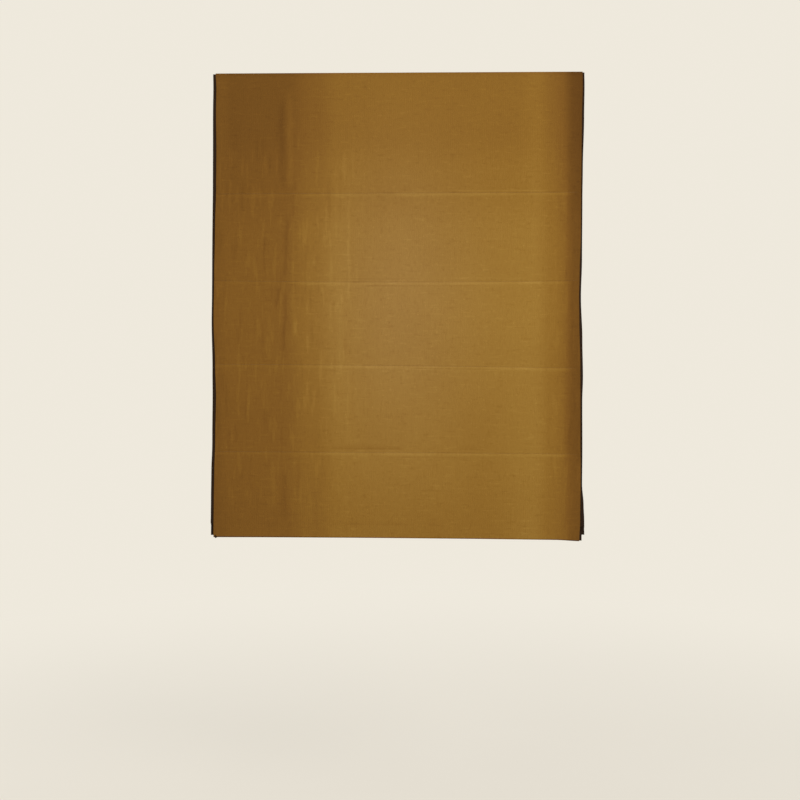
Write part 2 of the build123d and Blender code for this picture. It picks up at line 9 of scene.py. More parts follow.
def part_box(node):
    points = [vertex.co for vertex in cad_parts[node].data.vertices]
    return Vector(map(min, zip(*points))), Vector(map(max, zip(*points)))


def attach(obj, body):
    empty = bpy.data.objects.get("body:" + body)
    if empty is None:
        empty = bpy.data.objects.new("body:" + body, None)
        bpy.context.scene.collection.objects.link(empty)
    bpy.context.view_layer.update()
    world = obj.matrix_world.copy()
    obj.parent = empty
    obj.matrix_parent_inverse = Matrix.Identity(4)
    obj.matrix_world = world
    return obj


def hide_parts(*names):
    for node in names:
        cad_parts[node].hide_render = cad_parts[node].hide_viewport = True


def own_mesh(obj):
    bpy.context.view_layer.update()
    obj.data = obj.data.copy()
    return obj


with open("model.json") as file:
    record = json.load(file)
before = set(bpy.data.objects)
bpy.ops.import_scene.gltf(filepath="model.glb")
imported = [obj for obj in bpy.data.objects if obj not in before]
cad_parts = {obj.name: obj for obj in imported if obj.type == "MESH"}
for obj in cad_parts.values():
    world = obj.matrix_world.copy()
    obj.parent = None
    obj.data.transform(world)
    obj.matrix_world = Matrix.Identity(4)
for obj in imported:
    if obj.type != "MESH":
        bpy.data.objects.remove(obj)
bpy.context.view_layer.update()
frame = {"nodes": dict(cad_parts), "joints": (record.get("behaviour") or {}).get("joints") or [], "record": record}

# The looks of a lined, flat-fold roman blind, in metres: +Z up, its front towards -Y.
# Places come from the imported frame, and sizes that only the looks need are named below.

MM = 0.001

# -------- places from the frame

cloth_low, cloth_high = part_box("front_cloth")
lining_low, lining_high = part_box("lining")
bar_low, bar_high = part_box("bar_end_caps")
cloth_top = cloth_high.z
cloth_bottom = cloth_low.z
half_width = cloth_high.x
lining_top = lining_high.z
lining_bottom = lining_low.z

ratios = {c["joint"]: c["ratio"] for c in frame["record"]["behaviour"]["couplings"]}
joints = {j["name"]: j for j in frame["joints"]}
battens = sorted(n.removesuffix("_pocket") for n in frame["nodes"] if n.endswith("_pocket"))
seams = [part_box(f"{b}_pocket")[1].z for b in battens]
cords = sorted(n for n in frame["nodes"] if n.startswith("lift_cord_"))

# The hem's stitch line moves just as far as the bar, and a seam its ratio of that
hem_drop = (cloth_top - seams[-1]) / ratios[f"{battens[-1]}_lift"]
hem_line = cloth_top - hem_drop

# -------- sizes

velvet_t = 1.4 * MM
lining_t = 0.4 * MM
soft_gap = 0.3 * MM
thinnest = 0.15 * MM  # of the velvet, at its edges and under its stitches
pocket_t = 0.6 * MM
hem_lap = 2.5 * MM
hem_bend_r = 1.6 * MM
lining_bend_r = 0.8 * MM
lining_step = (20 * MM, 36 * MM)  # above the stitch line, where the lining steps over the lap
lining_hem_width = 14 * MM
side_hem_t = 0.3 * MM  # that the side hem adds to the lining
fold_fade = 0.8 * MM  # half the width over which the side hem's edge rises

cloth_front = cloth_low.y
cloth_middle = cloth_front + velvet_t / 2
lining_middle = lining_low.y + lining_t / 2
leg_middle = cloth_high.y - velvet_t / 2
lap_middle = cloth_front + 1.5 * velvet_t + soft_gap
lining_leg_middle = lining_high.y - lining_t / 2
lining_lap_middle = lap_middle + velvet_t / 2 + soft_gap + lining_t / 2
knee = bar_high.z + soft_gap
liner_gap = 0.35 * MM  # between the velvet of the hem and the liner in its open ends
liner_bend_r = 0.6 * MM
liner_reach = 1.3 * MM  # past the cloth's straight side, at the right
liner_start = 1.5 * MM  # past the bar's end cap
liner_drop = 4 * MM  # from the top of the hem's bar to the liner's

panel_swell = 3.5 * MM  # how far a panel stands forward between its seams
top_band = 45 * MM  # held flat by its tape
seam_inset = 14 * MM  # of a seam's first stitch from the cloth's side
hem_inset = 12 * MM
hem_stitch_rise = 5 * MM  # above the lining's bottom edge
side_stitch_span = (16 * MM, 8 * MM)  # kept free above the stitch line, and below the top
side_stitch_inset = 2 * MM  # from the side hem's inner edge
stitch_pitch = 4.2 * MM
stitch_length = 3.0 * MM
thread_r = 0.22 * MM

path_step = 1.5 * MM  # between the rows of a hem
front_pitch = (7 * MM, 13 * MM)  # between the front cloth's columns, and its rows
lining_pitch = 10 * MM  # between the lining's columns, and its rows

# -------- curves and numbers


def smoothstep(a, b, value):
    """0 before a, 1 after b, and smooth between."""
    t = np.clip((value - a) / (b - a), 0, 1)
    return t * t * (3 - 2 * t)


def bell(value, centre, width):
    """A smooth bump of height 1 about centre."""
    return np.exp(-(((value - centre) / width) ** 2))


def steps(low, high, step):
    """Evenly spaced values about a step apart, both ends included."""
    return np.linspace(low, high, max(2, int(round(abs(high - low) / step)) + 1))


def flowing(points, at):
    """A smooth curve through a few (share, value) points."""
    shares, values = (np.array(v) for v in zip(*points))
    i = np.clip(np.searchsorted(shares, at, side="right") - 1, 0, len(shares) - 2)
    t = smoothstep(shares[i], shares[i + 1], at)
    return values[i] * (1 - t) + values[i + 1] * t


def in_mm(*points):
    """(share, value) points from values in millimetres."""
    return [(share, value * MM) for share, value in points]


def points_at(x, y, z):
    """Points (x, y, z) from three arrays or numbers that fit together."""
    return np.stack(np.broadcast_arrays(x, y, z), axis=-1)


def directions(path):
    """The unit vector along a path at each of its points."""
    along = np.gradient(path, axis=0)
    return along / np.linalg.norm(along, axis=1)[:, None]


def travelled(path):
    """How far along a path each of its points is."""
    return np.concatenate([[0], np.cumsum(np.linalg.norm(np.diff(path, axis=0), axis=1))])


def rounded_path(corners, radius, step):
    """Points (y, z) along straight runs joined by arcs, and a mark for each of them.

    Marks count corners: 1.5 is half way from the second corner to the third, and an arc takes up
    arc_mark on both sides of its corner's number.
    """
    arc_mark = 0.05
    corners = [np.array(c, float) for c in corners]
    points, marks = [corners[0]], [0.0]

    def run_to(target, mark):
        """A straight run from the last point to target."""
        first, first_mark = points[-1], marks[-1]
        length = np.linalg.norm(target - first)
        run = steps(0, length, step)[1:]
        points.extend(first + (target - first) / length * r for r in run)
        marks.extend(first_mark + (mark - first_mark) * run / run[-1])

    for i in range(1, len(corners) - 1):
        before, here, after = corners[i - 1 : i + 2]
        a = (before - here) / np.linalg.norm(before - here)
        b = (after - here) / np.linalg.norm(after - here)
        half_angle = math.acos(np.clip(a @ b, -1, 1)) / 2
        cut = radius / math.tan(half_angle)
        centre = here + (a + b) / np.linalg.norm(a + b) * radius / math.sin(half_angle)
        start, end = here + a * cut, here + b * cut
        run_to(start, i - arc_mark)
        turn = math.pi - 2 * half_angle
        count = max(3, int(turn / math.radians(15)))
        for share in np.arange(1, count + 1) / count:
            chord = start * (1 - share) + end * share - centre
            points.append(centre + chord / np.linalg.norm(chord) * radius)
            marks.append(i - arc_mark + 2 * arc_mark * share)
    run_to(corners[-1], len(corners) - 1)
    return np.array(points), np.array(marks)


# -------- meshes


def add_object(name, data):
    """A new object in the scene."""
    obj = bpy.data.objects.new(name, data)
    bpy.context.scene.collection.objects.link(obj)
    return obj


def mesh_object(name, points, faces, uvs=None, floats=None):
    """A smooth mesh object from points, faces, one UV and named values for each point."""
    mesh = bpy.data.meshes.new(name)
    mesh.from_pydata(np.asarray(points, float).tolist(), [], faces)
    if uvs is not None:
        layer = mesh.uv_layers.new(name="cloth_uv")
        corner = np.zeros(len(mesh.loops), np.int32)
        mesh.loops.foreach_get("vertex_index", corner)
        layer.data.foreach_set("uv", np.asarray(uvs, np.float32)[corner].ravel())
    for key, values in (floats or {}).items():
        attribute = mesh.attributes.new(key, "FLOAT", "POINT")
        attribute.data.foreach_set("value", np.asarray(values, np.float32).ravel())
    mesh.polygons.foreach_set("use_smooth", [True] * len(mesh.polygons))
    mesh.set_sharp_from_angle(angle=math.radians(50))
    return add_object(name, mesh)


def grid_faces(rows, cols, start=0, flip=False):
    """Quads of a rows by cols grid of points."""
    i = start + np.arange(rows * cols).reshape(rows, cols)
    corners = (i[:-1, :-1], i[:-1, 1:], i[1:, 1:], i[1:, :-1])
    return np.stack(corners[::-1] if flip else corners, axis=-1).reshape(-1, 4).tolist()


def ring_faces(a, b, n, flip=False):
    """Quads between two closed rings of n points, whose first points are a and b."""
    quads = [(a + i, a + (i + 1) % n, b + (i + 1) % n, b + i) for i in range(n)]
    return [quad[::-1] for quad in quads] if flip else quads


def shell(name, front, back, uv, floats=None):
    """A closed sheet from two grids of points, its front and its back, joined at their edges."""
    rows, cols = front.shape[:2]
    n = rows * cols
    faces = grid_faces(rows, cols, flip=True) + grid_faces(rows, cols, n)
    i = np.arange(n).reshape(rows, cols)
    edge = np.concatenate([i[0], i[1:, -1], i[-1, -2::-1], i[-2:0:-1, 0]]).tolist()
    for a, b in zip(edge, edge[1:] + edge[:1]):
        faces.append((a, b, b + n, a + n))
    points = np.concatenate([front.reshape(-1, 3), back.reshape(-1, 3)])
    uvs = np.concatenate([uv.reshape(-1, 2)] * 2)
    both = {k: np.concatenate([v.ravel()] * 2) for k, v in (floats or {}).items()}
    return mesh_object(name, points, faces, uvs, both)


class Tubes:
    """Round closed tubes gathered into one mesh."""

    def __init__(self, sides):
        self.sides = sides
        self.points = []
        self.faces = []
        self.uvs = []

    def add(self, path, radius):
        """One tube along path; radius is one number, or an array of rings by sides."""
        path = np.asarray(path, float)
        radius = np.broadcast_to(np.asarray(radius, float), (len(path), self.sides))
        along = directions(path)
        side = np.cross(along[0], (0.0, 1.0, 0.0))
        if np.linalg.norm(side) < 0.1:
            side = np.cross(along[0], (1.0, 0.0, 0.0))
        turns = 2 * math.pi * np.arange(self.sides) / self.sides
        start = len(self.points)
        for p, t, r, s in zip(path, along, radius, travelled(path)):
            side = side - t * (side @ t)
            side /= np.linalg.norm(side)
            other = np.cross(t, side)
            for turn, reach in zip(turns, r):
                self.points.append(p + reach * (math.cos(turn) * side + math.sin(turn) * other))
                self.uvs.append((turn / (2 * math.pi), s))
        n = self.sides
        last = start + (len(path) - 1) * n
        for a in range(start, last, n):
            self.faces += ring_faces(a, a + n, n)
        self.faces.append(tuple(start + i for i in reversed(range(n))))
        self.faces.append(tuple(last + i for i in range(n)))

    def build(self, name, floats=None):
        return mesh_object(name, self.points, self.faces, self.uvs, floats)


# -------- materials


class Material:
    """A procedural material, with short calls for the nodes used here.

    Its textures lie in space, "Object" or "UV", and both are in metres.
    """

    def __init__(self, name, space, roughness, **sockets):
        self.space = space
        self.data = bpy.data.materials.new(name)
        self.data.use_nodes = True
        self.tree = self.data.node_tree
        self.shader = self.tree.nodes["Principled BSDF"]
        self.shader.inputs["Roughness"].default_value = roughness
        for key, value in sockets.items():
            self.shader.inputs[key.replace("_", " ")].default_value = value

    def add(self, kind, inputs=(), **settings):
        """A new node, its settings, and its inputs as (socket, value or link) pairs."""
        node = self.tree.nodes.new(f"ShaderNode{kind}")
        for key, value in settings.items():
            setattr(node, key, value)
        for key, value in inputs:
            if isinstance(value, bpy.types.NodeSocket):
                self.tree.links.new(value, node.inputs[key])
            else:
                node.inputs[key].default_value = value
        return node

    def place(self, scale, turn=0.0):
        """Coordinates stretched by scale, which has two or three values, and turned about Z."""
        source = self.add("TexCoord").outputs[self.space]
        inputs = [("Vector", source), ("Scale", (*scale, 1)[:3]), ("Rotation", (0, 0, turn))]
        return self.add("Mapping", inputs).outputs["Vector"]

    def texture(self, kind, output, scale, turn=0.0, **inputs):
        """A texture with about scale features to the metre along each axis."""
        pairs = [("Vector", self.place(scale, turn)), ("Scale", 1.0), *inputs.items()]
        return self.add(f"Tex{kind}", pairs).outputs[output]

    def noise(self, scale, detail=2.0, roughness=0.5):
        """Smooth noise."""
        return self.texture("Noise", "Fac", scale, Detail=detail, Roughness=roughness)

    def waves(self, scale, turn=0.0):
        """Straight bands across X, about three for each unit of scale."""
        return self.texture("Wave", "Fac", scale, turn)

    def cells(self, scale):
        """A random value for each cell."""
        return self.texture("Voronoi", "Color", scale)

    def value(self, name):
        """A value that the mesh carries at each point."""
        return self.add("Attribute", attribute_name=name).outputs["Fac"]

    def marks(self, value, low, high):
        """0 below low and 1 above high, so that smooth noise becomes separate marks."""
        inputs = [("Value", value), ("From Min", low), ("From Max", high)]
        return self.add("MapRange", inputs, interpolation_type="SMOOTHSTEP").outputs["Result"]

    def math(self, operation, a, b):
        """a and b put together by operation."""
        return self.add("Math", [(0, a), (1, b)], operation=operation).outputs[0]

    def around(self, *parts):
        """1 plus each (texture, strength) pair, where a texture of 0.5 adds nothing."""
        total = 1.0 - sum(strength for _, strength in parts) / 2
        for texture, strength in parts:
            inputs = [(0, texture), (1, strength), (2, total)]
            total = self.add("Math", inputs, operation="MULTIPLY_ADD").outputs[0]
        return total

    def ramp(self, value, *stops):
        """Colour by value through (value, colour) stops."""
        node = self.add("ValToRGB", [("Fac", value)])
        elements = node.color_ramp.elements
        elements[0].position, elements[0].color = stops[0][0], (*stops[0][1], 1)
        elements[1].position, elements[1].color = stops[-1][0], (*stops[-1][1], 1)
        for position, colour in stops[1:-1]:
            elements.new(position).color = (*colour, 1)
        return node.outputs["Color"]

    def colour(self, source):
        self.tree.links.new(source, self.shader.inputs["Base Color"])

    def rough(self, texture, low, high):
        """Roughness from low to high by texture."""
        node = self.add("MapRange", [("Value", texture), ("To Min", low), ("To Max", high)])
        self.tree.links.new(node.outputs["Result"], self.shader.inputs["Roughness"])

    def bump(self, *parts):
        """Relief from (texture, depth in metres) pairs."""
        normal = None
        for texture, depth in parts:
            inputs = [("Height", texture), ("Strength", 1.0), ("Distance", depth)]
            if normal is not None:
                inputs.append(("Normal", normal))
            normal = self.add("Bump", inputs).outputs["Normal"]
        self.tree.links.new(normal, self.shader.inputs["Normal"])


def velvet_material():
    """Ochre cotton velvet: a short pile over a slubby weave, darker and redder where the pile lies away and where
    the mesh's tone holds painted shade.
    """
    sheen = {"Sheen_Weight": 0.06, "Sheen_Roughness": 0.45}
    m = Material("velvet_ochre", "UV", 0.88, Specular_IOR_Level=0.12, **sheen)
    m.shader.inputs["Sheen Tint"].default_value = (1.0, 0.78, 0.42, 1)
    broad = m.noise((6, 4))
    warp_slubs = m.marks(m.noise((80, 11)), 0.53, 0.68)
    warp_gaps = m.marks(m.noise((62, 8)), 0.56, 0.72)
    weft_slubs = m.marks(m.noise((24, 150)), 0.57, 0.72)
    weft_gaps = m.marks(m.noise((30, 130)), 0.58, 0.73)
    fine = m.noise((260, 70))
    grain = m.noise((1500, 1500), 3, 0.7)
    pile = m.noise((420, 420), 2, 0.6)
    short_slubs = m.marks(m.noise((130, 36)), 0.56, 0.70)
    slubs = m.math("SUBTRACT", warp_slubs, m.math("MULTIPLY", warp_gaps, 0.8))
    slubs = m.math("MULTIPLY", slubs, m.value("slubs"))
    gaps = m.math("ADD", weft_gaps, m.math("MULTIPLY", short_slubs, 0.6))
    specks = m.math("SUBTRACT", weft_slubs, gaps)
    slubs = m.math("ADD", slubs, m.math("MULTIPLY", specks, 0.55))
    knots = m.marks(m.noise((150, 120), 1), 0.66, 0.76)
    pits = m.marks(m.noise((130, 160), 1), 0.67, 0.77)
    lay = m.around((broad, 0.10), (fine, 0.14), (grain, 0.45), (pile, 0.18))
    lay = m.math("ADD", lay, m.math("MULTIPLY", slubs, 0.13))
    lay = m.math("ADD", lay, m.math("MULTIPLY", m.math("SUBTRACT", knots, pits), 0.10))
    # The mesh's tone holds painted shade and painted highlights as well as the pile's own tone.
    tone = m.math("MULTIPLY", m.value("tone"), lay)
    colour = m.ramp(
        m.math("MULTIPLY", tone, 0.8),
        (0.0, (0.0, 0.0, 0.0)),
        (0.28, (0.100, 0.0408, 0.0055)),
        (0.48, (0.176, 0.0795, 0.0115)),
        (0.64, (0.233, 0.117, 0.0170)),
        (0.80, (0.290, 0.161, 0.0290)),
        (1.0, (0.375, 0.219, 0.0500)),
    )
    # Painted sheen: the mesh's pale value adds a faint pale bluish haze to the colour.
    pale = [(0, m.value("pale")), (1, (0.0, 0.002, 0.012)), (2, colour)]
    m.colour(m.add("VectorMath", pale, operation="MULTIPLY_ADD").outputs[0])
    weave = m.waves((55, 55))
    m.bump((grain, 0.35 * MM), (pile, 0.35 * MM), (fine, 0.25 * MM), (weave, 0.05 * MM))
    return m.data


def lining_material():
    """Close-woven blackout lining, brown-black, with a faint diagonal rib."""
    m = Material("lining_dark", "UV", 0.7, Specular_IOR_Level=0.06)
    broad = m.noise((7, 5), 3)
    grain = m.noise((1100, 1100))
    lay = m.around((broad, 0.5), (grain, 0.5))
    dark, light = (0.0120, 0.0062, 0.0032), (0.0300, 0.0160, 0.0085)
    m.colour(m.ramp(m.math("MULTIPLY", lay, 0.5), (0.3, dark), (0.7, light)))
    rib = m.waves((240, 240), math.radians(32))
    m.bump((rib, 0.06 * MM), (grain, 0.12 * MM))
    return m.data


def tape_material():
    """Hook and loop tape: a dense nap of loops on a woven band."""
    m = Material("tape_white", "Object", 0.85, Sheen_Weight=0.2)
    nap = m.noise((1500, 1500, 1500), 3, 0.7)
    rows = m.waves((120, 40, 40))
    m.colour(m.ramp(nap, (0.25, (0.42, 0.40, 0.36)), (0.75, (0.72, 0.70, 0.65))))
    m.bump((rows, 0.15 * MM), (nap, 0.4 * MM))
    return m.data


def cord_material(name, dark, light, toned=False, shine=1.0):
    """Braided or twisted yarn: two sets of strands that cross.

    A toned yarn is as light or dark as the mesh's tone says, and shine scales its gloss.
    """
    m = Material(name, "UV", 0.6, Sheen_Weight=0.15 * shine, Specular_IOR_Level=0.5 * shine)
    left, right = (m.waves((1.8, 260), math.radians(turn)) for turn in (45, -45))
    braid = m.math("MAXIMUM", left, right)
    colour = m.ramp(braid, (0.1, dark), (0.9, light))
    if toned:
        inputs = [(0, colour), ("Scale", m.value("tone"))]
        colour = m.add("VectorMath", inputs, operation="SCALE").outputs[0]
    m.colour(colour)
    m.bump((braid, 0.12 * MM))
    return m.data


def powder_coat_material():
    """Satin powder coat with a fine orange peel."""
    m = Material("powder_coat", "Object", 0.42)
    broad = m.noise((9, 9, 9))
    peel = m.noise((700, 700, 700), 1)
    m.colour(m.ramp(broad, (0.2, (0.60, 0.585, 0.55)), (0.8, (0.66, 0.65, 0.62))))
    m.rough(peel, 0.34, 0.50)
    m.bump((peel, 0.04 * MM))
    return m.data


def zinc_material():
    """Zinc-plated steel: pale, with a soft spangle and fine scratches."""
    m = Material("zinc_plate", "Object", 0.35, Metallic=1.0)
    spangle = m.cells((190, 190, 190))
    scratches = m.noise((60, 2500, 2500))
    m.colour(m.ramp(spangle, (0.1, (0.44, 0.45, 0.46)), (0.9, (0.58, 0.59, 0.59))))
    m.rough(m.math("MULTIPLY", m.math("ADD", spangle, scratches), 0.5), 0.34, 0.58)
    m.bump((scratches, 0.02 * MM))
    return m.data


def spring_steel_material():
    """Cold-rolled strip, oiled and rolled along its length."""
    m = Material("spring_steel", "Object", 0.3, Metallic=1.0)
    grain = m.noise((1800, 90, 1800), 3)
    m.colour(m.ramp(grain, (0.3, (0.34, 0.35, 0.37)), (0.7, (0.50, 0.51, 0.53))))
    m.rough(grain, 0.22, 0.40)
    m.bump((grain, 0.015 * MM))
    return m.data


def aluminium_material():
    """Mill-finish aluminium with extrusion lines along X."""
    m = Material("mill_aluminium", "Object", 0.4, Metallic=1.0)
    lines = m.noise((3, 1600, 1600), 3, 0.7)
    m.colour(m.ramp(lines, (0.3, (0.62, 0.62, 0.63)), (0.7, (0.76, 0.76, 0.77))))
    m.rough(lines, 0.30, 0.48)
    m.bump((lines, 0.03 * MM))
    return m.data


def plastic_material(name, dark, light, roughness):
    """Moulded plastic: a fine spark texture and faint flow marks."""
    m = Material(name, "Object", roughness, Specular_IOR_Level=0.45)
    flow = m.noise((45, 45, 45))
    spark = m.noise((2200, 2200, 2200), 1)
    mix = m.math("ADD", m.math("MULTIPLY", flow, 0.7), m.math("MULTIPLY", spark, 0.3))
    m.colour(m.ramp(mix, (0.3, dark), (0.7, light)))
    m.rough(spark, roughness - 0.08, roughness + 0.10)
    m.bump((spark, 0.03 * MM))
    return m.data


def rod_material():
    """Drawn glass fibre: pale resin over fibres along X."""
    m = Material("glass_fibre", "Object", 0.3, Coat_Weight=0.4, Coat_Roughness=0.15)
    fibres = m.noise((6, 3500, 3500), 3, 0.6)
    m.colour(m.ramp(fibres, (0.3, (0.50, 0.47, 0.36)), (0.7, (0.74, 0.72, 0.63))))
    m.bump((fibres, 0.03 * MM))
    return m.data


# The ochre thread is toned by the mesh, so it takes the cloth's painted shade.
thread_ochre = cord_material("thread_ochre", (0.18, 0.090, 0.016), (0.30, 0.160, 0.030), toned=True)
thread_dark = cord_material("thread_dark", (0.010, 0.006, 0.004), (0.030, 0.018, 0.011), shine=0.15)
materials = {
    "velvet": velvet_material(),
    "lining": lining_material(),
    "tape": tape_material(),
    "cord": cord_material("cord_white", (0.42, 0.40, 0.36), (0.80, 0.78, 0.73)),
    "rail": powder_coat_material(),
    "bar": aluminium_material(),
    "zinc_steel": zinc_material(),
    "spring_steel": spring_steel_material(),
    "rail_plastic": plastic_material("white_plastic", (0.56, 0.55, 0.51), (0.66, 0.65, 0.61), 0.42),
    "grey_plastic": plastic_material("grey_plastic", (0.16, 0.165, 0.17), (0.24, 0.245, 0.25), 0.38),
    "rod": rod_material(),
}

# Every CAD node takes the finish that the record names for it
for part in frame["record"]["subparts"]:
    for slot in frame["nodes"][part["node"]].material_slots:
        slot.material = materials[part["material_slot"]]


def finish_piece(piece, body, slot, nodes=(), material=None):
    """Give a new piece its material, its body and the CAD nodes that it stands for."""
    piece.data.materials.append(material or materials[slot])
    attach(piece, body)
    if nodes:
        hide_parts(*nodes)
    return piece


def close_up(piece):
    """Give a piece of the hanging cloth its own copy of its mesh."""
    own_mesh(piece)


# -------- shape of the hanging cloth

# Lines across the cloth: its top edge, the seams, the hem's stitch line and its bottom edge.
# Each stands this many millimetres above its level height at the left, in the middle and at the
# right.
line_heights = [cloth_top, *seams, hem_line, cloth_bottom]
line_wander = [
    (3.0, 2.4, 1.6),
    (2.4, 4.0, 5.2),
    (-1.1, -4.4, 0.2),
    (4.0, 1.9, -3.0),
    (-1.7, -0.9, -1.5),
    (0.0, 0.0, 0.0),
    (-2.4, 0.0, -0.8),
]
corner_droop = 2.6 * MM  # of the lower right corner

# How far the side edges stand out from the cloth's straight sides, by the share of the drop
cloth_left = in_mm(
    (0.0, -2.0), (0.03, -4.2), (0.08, -3.3), (0.17, -5.2), (0.25, -4.2), (0.34, -1.7), (0.44, 0.2),
    (0.53, 1.5), (0.63, -3.0), (0.70, -6.2), (0.79, -4.0), (0.85, -2.0), (0.92, -0.8), (1.0, 0.2),
)
cloth_right = in_mm(
    (0.0, 0.4), (0.03, 0.6), (0.10, -1.2), (0.17, -1.9), (0.25, -2.8), (0.34, -3.0), (0.44, -6.4),
    (0.48, -7.6), (0.53, -6.6), (0.63, -3.6), (0.70, -3.0), (0.79, -2.9), (0.85, -1.7), (0.96, -2.8),
    (1.0, -5.0),
)
lining_left = in_mm(
    (0.0, 5.0), (0.03, 4.4), (0.08, 5.0), (0.16, 4.6), (0.48, 6.4), (0.53, 7.0), (0.64, 4.6),
    (0.70, 3.7), (0.79, 4.4), (0.86, 6.6), (0.92, 7.3), (1.0, 9.0),
)
lining_right = in_mm(
    (0.0, 5.2), (0.03, 5.8), (0.10, 4.9), (0.21, 1.8), (0.27, 1.0), (0.40, 0.4), (0.48, -2.2),
    (0.57, 2.0), (0.65, 3.9), (0.70, 2.2), (0.81, 2.9), (0.88, 2.3), (0.925, 6.6), (0.96, 8.6),
    (1.0, 9.6),
)
# How far the lining's tail stands above its level end, by the share across
tail_lift = in_mm((-1.0, -3.8), (-0.8, 0.0), (0.8, 0.0), (1.0, 7.8))

# Upright creases of the front cloth, in millimetres: x of each at its two ends and how far the
# ends are below the top edge, then its width. Last comes its height as a share, which is below 0
# where the crease is a groove.
creases = [
    (-318, -312, 60, 325, 8, -1.0),
    (-295, -290, 30, 325, 8, 1.1),
    (-298, -306, 380, 560, 5, -1.3),
    (-284, -277, 470, 562, 5, 0.7),
    (-364, -360, 440, 562, 3, -1.0),
    (-131, -131, 240, 640, 3.5, 0.7),
    (-301, -310, 575, 790, 5, -1.3),
    (-283, -277, 575, 730, 7, 1.1),
    (-318, -332, 575, 640, 4, -1.0),
    (-348, -346, 640, 785, 4, 0.8),
    (-153, -150, 575, 790, 7, 0.5),
    (-131, -134, 800, 1020, 3.5, 0.6),
    (-474, -460, 815, 940, 7, -0.7),
    (-359, -352, 820, 940, 3, 0.5),
    (-336, -336, 1040, 1190, 7, 0.9),
    (-308, -303, 1070, 1220, 8, -0.8),
    (412, 412, 920, 1020, 3, -0.7),
    (467, 466, 930, 1005, 4, -0.9),
]

# Lines along the seams: which seam, how far each is below its stitches and x of its two ends, in
# millimetres, and how much lighter it is, which is below 0 where it is darker
seam_lines = [
    (0, -5.3, 137, 420, 0.09),
    (1, -8.3, -185, 70, -0.06),
    (1, -8.3, 140, 360, 0.05),
    (1, 10.4, -90, 235, -0.10),
    (2, 6.8, 36, 293, -0.11),
    (2, 9.6, 36, 293, 0.06),
    (3, -9.8, -185, 25, -0.15),
    (3, -9.8, 82, 117, -0.09),
    (3, -9.8, 158, 253, -0.08),
    (3, 12.4, -30, 200, -0.06),
]


def line_shift(index, x):
    """How far line index stands above its level height at x."""
    left, middle, right = (height * MM for height in line_wander[index])
    across = x / half_width
    droop = corner_droop * smoothstep(0.86, 1.0, across) if index == len(line_heights) - 1 else 0.0
    return middle + (right - left) / 2 * across + ((left + right) / 2 - middle) * across**2 - droop


def warp(x, z):
    """The height at x of the thread that would hang at z if every line were level."""
    out = np.array(z, float)
    for i, (upper, lower) in enumerate(zip(line_heights, line_heights[1:])):
        share = (upper - z) / (upper - lower)
        shift = line_shift(i, x) * (1 - share) + line_shift(i + 1, x) * share
        out = np.where((z <= upper) & (z > lower), z + shift, out)
    past = z <= line_heights[-1]
    return np.where(past, z + line_shift(len(line_heights) - 1, x), out)


def share_down(z):
    """The share of the cloth's drop that is above z."""
    return (cloth_top - z) / (cloth_top - cloth_bottom)


def across_at(z, share, left, right):
    """x at a share from -1 to 1 across a sheet whose side edges are left and right."""
    down = share_down(z)
    low = -half_width - flowing(left, down)
    high = half_width + flowing(right, down)
    return (low + high) / 2 + share * (high - low) / 2


def swing(x, z):
    """How far both layers stand forward of their flat place."""
    across = x / half_width
    out = 0.0
    for i in range(len(seams) + 1):
        upper, lower = line_heights[i], line_heights[i + 1]
        upper = upper - (top_band if i == 0 else 0)
        share = np.clip((upper - z) / (upper - lower), 0, 1)
        depth = panel_swell * (0.8 + 0.2 * math.cos(2.1 * i + 0.6))
        out = out + depth * np.sin(math.pi * share) ** 1.4 * (1 - 0.3 * across**4)
    loose = smoothstep(0.04, 0.30, (cloth_top - z) / hem_drop)
    firm = 1 - 0.7 * smoothstep(hem_line, cloth_bottom, z)
    waves = 1.4 + 0.8 * np.sin(5.3 * across + 3.8 * z) + 0.5 * np.sin(11.7 * across - 4.6 * z + 1.0)
    held = 1 - sum(bell(z, seam, 28 * MM) for seam in seams)
    out = out + loose * firm * held * waves * MM
    side = smoothstep(0.90, 1.0, across) + 0.6 * smoothstep(-0.94, -1.0, across)
    return out * (1 - 0.9 * np.clip(side, 0, 1) ** 1.5)


def crease_lift(x, z):
    """Height of the upright creases, about 1 where one is strong."""
    out = 0.0
    drop = (cloth_top - z) / MM
    for top_x, low_x, top, low, width, lift_off in creases:
        share = (drop - top) / (low - top)
        centre = top_x + (low_x - top_x) * share + 1.5 * np.sin(drop / 17 + top_x)
        shown = smoothstep(0.0, 0.2, share) * (1 - smoothstep(0.85, 1.0, share))
        out = out + lift_off * shown * bell(x / MM, centre, width)
    return out


def handling(x, z):
    """Soft creases in the front cloth, forward."""
    tuck = bell(z, seams[0] - 21 * MM, 2.6 * MM) * bell(x, 190 * MM, 60 * MM)
    return (0.35 * crease_lift(x, z) - 0.5 * tuck) * MM


def broken(x, index):
    """From 0 to 1 along a seam, where its lines show less or more."""
    waves = np.sin(31 * x + 2.3 * index) + np.sin(13 * x - 1.7 * index) + 0.7 * np.sin(71 * x + index)
    return smoothstep(-2.0, 2.0, waves)


def seam_relief(x, z):
    """Relief of the seams on the front: a stitched groove, a roll under it, and puckers."""
    out = 0.0
    fade = 1 - 0.8 * smoothstep(0.88, 0.99, x / half_width)
    for i, seam in enumerate(seams):
        below = seam - z
        groove = -0.5 * bell(below, 0.0, 1.0 * MM)
        roll = 0.7 * bell(below, 4.4 * MM, 4.2 * MM)
        pucker = np.sin(150 * x + 4 * np.sin(19 * x + i)) * np.sin(47 * x + 2 * i)
        out = out + (groove + roll) * fade
        out = out + 0.3 * pucker * np.exp(-np.abs(below) / (9 * MM))
    return out * MM


